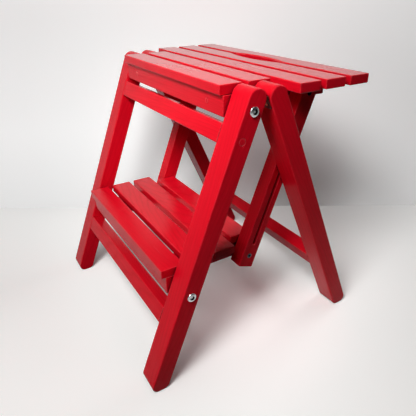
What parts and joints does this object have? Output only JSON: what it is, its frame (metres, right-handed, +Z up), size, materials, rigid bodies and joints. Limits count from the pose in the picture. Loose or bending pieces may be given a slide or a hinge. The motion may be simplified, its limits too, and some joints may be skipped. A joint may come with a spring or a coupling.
{
  "type": "folding step stool chair",
  "caption": "Folding wooden step stool chair: a slatted seat over a slatted step on splayed legs hinged at their tops, with slotted links that fold the whole stool flat.",
  "frame": {"origin": "on the floor, under the middle of the bounding box", "axes": "+Z up, -Y the front, where the step is, +X the stool's right side as seen from the front"},
  "size_m": [0.4324, 0.4219, 0.45],
  "materials": {
    "frame_paint": "satin red paint over wood, fine grain showing",
    "deck_paint": "satin red paint over wood, fine grain showing",
    "nickel": "bright nickel plate",
    "hinge_brass": "plain brass, lightly dulled"
  },
  "bodies": {
    "front_frame": {"front_leg_left": "frame_paint", "front_leg_right": "frame_paint", "front_lower_rail": "frame_paint", "front_upper_rail": "frame_paint", "hinge_front_leaf_left": "hinge_brass", "hinge_front_leaf_right": "hinge_brass", "hinge_front_screw_1_left": "hinge_brass", "hinge_front_screw_1_right": "hinge_brass", "hinge_front_screw_2_left": "hinge_brass", "hinge_front_screw_2_right": "hinge_brass", "upper_rail_dowel_left": "frame_paint", "upper_rail_dowel_right": "frame_paint"},
    "rear_frame": {"hinge_rear_leaf_left": "hinge_brass", "hinge_rear_leaf_right": "hinge_brass", "hinge_rear_screw_1_left": "hinge_brass", "hinge_rear_screw_1_right": "hinge_brass", "hinge_rear_screw_2_left": "hinge_brass", "hinge_rear_screw_2_right": "hinge_brass", "rear_leg_left": "frame_paint", "rear_leg_right": "frame_paint", "rear_rail": "frame_paint"},
    "seat": {"seat_bar_screw_left": "deck_paint", "seat_bar_screw_right": "deck_paint", "seat_cross_bar": "deck_paint", "seat_link_bolt_left": "nickel", "seat_link_bolt_right": "nickel", "seat_link_spacer_left": "nickel", "seat_link_spacer_right": "nickel", "seat_pivot_bolt_left": "nickel", "seat_pivot_bolt_right": "nickel", "seat_pivot_washer_left": "nickel", "seat_pivot_washer_right": "nickel", "seat_side_bar_left": "deck_paint", "seat_side_bar_right": "deck_paint", "seat_slat_1": "deck_paint", "seat_slat_2": "deck_paint", "seat_slat_3": "deck_paint", "seat_slat_4": "deck_paint", "seat_slat_5": "deck_paint"},
    "step": {"step_bar_screw_left": "deck_paint", "step_bar_screw_right": "deck_paint", "step_cross_bar": "deck_paint", "step_link_bolt_left": "nickel", "step_link_bolt_right": "nickel", "step_link_spacer_left": "nickel", "step_link_spacer_right": "nickel", "step_pivot_bolt_left": "nickel", "step_pivot_bolt_right": "nickel", "step_pivot_washer_left": "nickel", "step_pivot_washer_right": "nickel", "step_side_bar_left": "deck_paint", "step_side_bar_right": "deck_paint", "step_slat_1": "deck_paint", "step_slat_2": "deck_paint", "step_slat_3": "deck_paint", "step_slat_4": "deck_paint"},
    "link_right": {"link_right": "frame_paint"},
    "link_left": {"link_left": "frame_paint"},
    "guide_pin_right": {"guide_pin_right": "nickel"},
    "guide_pin_left": {"guide_pin_left": "nickel"}
  },
  "joints": [
    {"name": "seat_fold", "type": "hinge", "parent": "front_frame", "child": "seat", "pos_m": [0, -0.03736, 0.421], "axis": [1, 0, 0], "range_deg": [0, 54.1]},
    {"name": "step_fold", "type": "hinge", "parent": "front_frame", "child": "step", "pos_m": [0, -0.13775, 0.1615], "axis": [1, 0, 0], "range_deg": [0, 54.1]},
    {"name": "rear_frame_fold", "type": "hinge", "parent": "front_frame", "child": "rear_frame", "pos_m": [0, -0.0144, 0.43474], "axis": [-1, 0, 0], "range_deg": [0, 44.89]},
    {"name": "link_right_turn", "type": "hinge", "parent": "seat", "child": "link_right", "pos_m": [0.1556, 0.09864, 0.421], "axis": [-1, 0, 0], "range_deg": [0, 54.1]},
    {"name": "link_left_turn", "type": "hinge", "parent": "seat", "child": "link_left", "pos_m": [-0.1556, 0.09864, 0.421], "axis": [-1, 0, 0], "range_deg": [0, 54.1]},
    {"name": "guide_pin_right_slide", "type": "slide", "parent": "link_right", "child": "guide_pin_right", "axis": [0, -0.3608, -0.9326], "range_m": [0, 0.1357]},
    {"name": "guide_pin_left_slide", "type": "slide", "parent": "link_left", "child": "guide_pin_left", "axis": [0, -0.3608, -0.9326], "range_m": [0, 0.1357]}
  ],
  "couplings": [
    {"joint": "step_fold", "follows": "seat_fold", "ratio": 1},
    {"joint": "rear_frame_fold", "follows": "seat_fold", "ratio": 0.8288},
    {"joint": "link_right_turn", "follows": "seat_fold", "ratio": 1},
    {"joint": "link_left_turn", "follows": "seat_fold", "ratio": 1},
    {"joint": "guide_pin_right_slide", "follows": "seat_fold", "m_per_rad": 0.14347},
    {"joint": "guide_pin_left_slide", "follows": "seat_fold", "m_per_rad": 0.14347}
  ]
}
